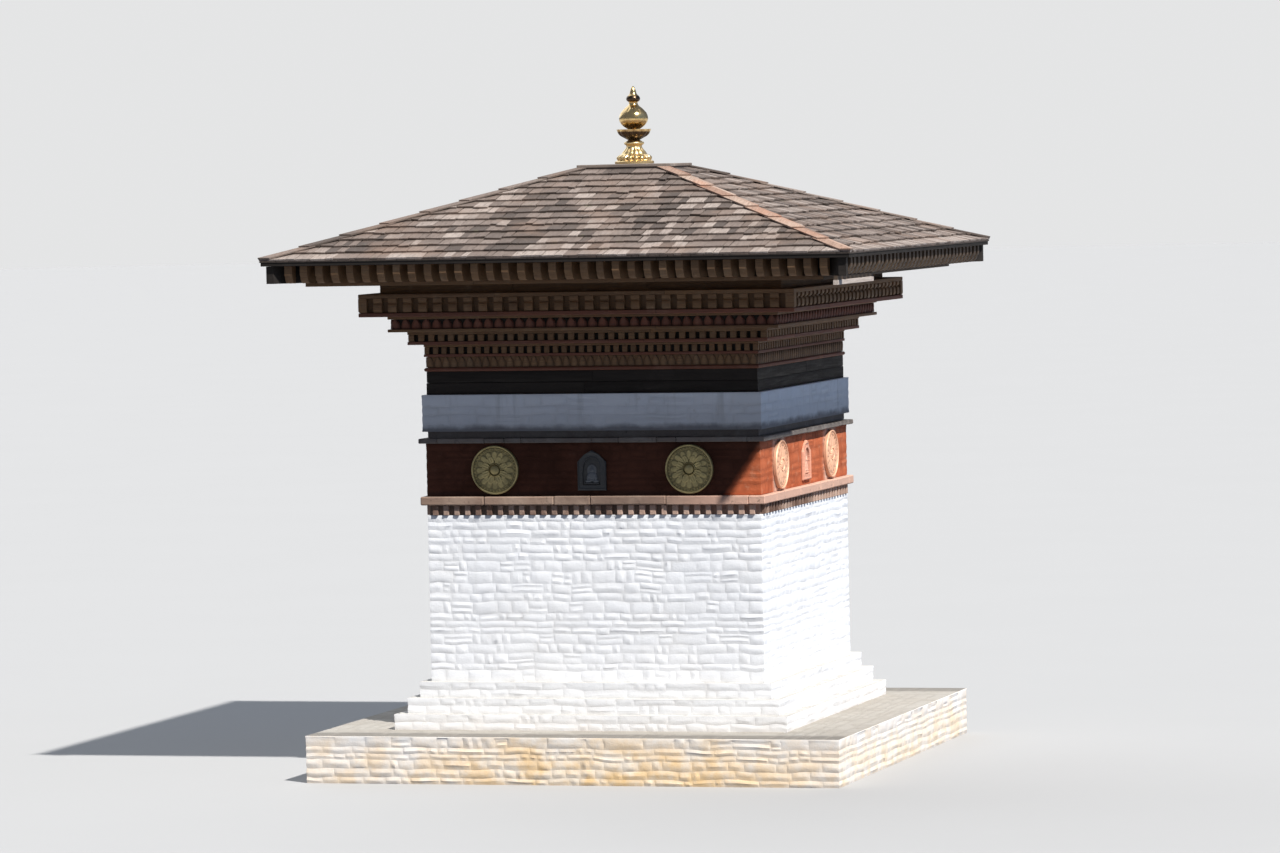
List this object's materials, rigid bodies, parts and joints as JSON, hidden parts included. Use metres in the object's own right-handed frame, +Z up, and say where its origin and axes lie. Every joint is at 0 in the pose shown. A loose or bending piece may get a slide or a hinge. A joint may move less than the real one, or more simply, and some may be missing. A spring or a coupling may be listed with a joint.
{
  "type": "stupa",
  "caption": "Square whitewashed stupa on a stepped plinth, with a red band of gilded discs, a timber cornice and a low shingled pyramid roof under a gilded pinnacle.",
  "frame": {"origin": "centre of the plinth's underside, at ground level", "axes": "+Z up; the front faces -Y, +X to the right of someone facing the front"},
  "size_m": [9.04, 9.04, 10.29],
  "materials": {
    "whitewash": "limewash over rubble masonry, stained near the ground",
    "red_plaster": "red ochre wash over plaster",
    "ledge_stone": "dressed slab, weathered",
    "slate": "carved slate, dull",
    "timber": "dark oiled timber, weathered",
    "shingle": "split shingles, silvered by weather",
    "gilding": "gilded sheet, slightly dulled"
  },
  "bodies": {
    "root": {"apex_cap": "shingle", "base_step_lower": "whitewash", "base_step_middle": "whitewash", "base_step_upper": "whitewash", "belt_wall": "whitewash", "body_wall": "whitewash", "cornice_beam_back": "timber", "cornice_beam_front": "timber", "cornice_beam_left": "timber", "cornice_beam_right": "timber", "dentil_course": "ledge_stone", "disc_back_1": "gilding", "disc_back_2": "gilding", "disc_front_1": "gilding", "disc_front_2": "gilding", "disc_left_1": "gilding", "disc_left_2": "gilding", "disc_right_1": "gilding", "disc_right_2": "gilding", "eave_joists_back": "timber", "eave_joists_front": "timber", "eave_joists_left": "timber", "eave_joists_right": "timber", "frieze_back": "timber", "frieze_front": "timber", "frieze_left": "timber", "frieze_right": "timber", "lower_ledge": "ledge_stone", "masonry_core": "whitewash", "pinnacle_base": "gilding", "pinnacle_dish": "gilding", "pinnacle_vase": "gilding", "plaque_back": "slate", "plaque_front": "slate", "plaque_left": "slate", "plaque_right": "slate", "plinth": "whitewash", "red_band": "red_plaster", "roof_slope_back": "shingle", "roof_slope_front": "shingle", "roof_slope_left": "shingle", "roof_slope_right": "shingle", "upper_ledge": "ledge_stone"}
  },
  "joints": []
}
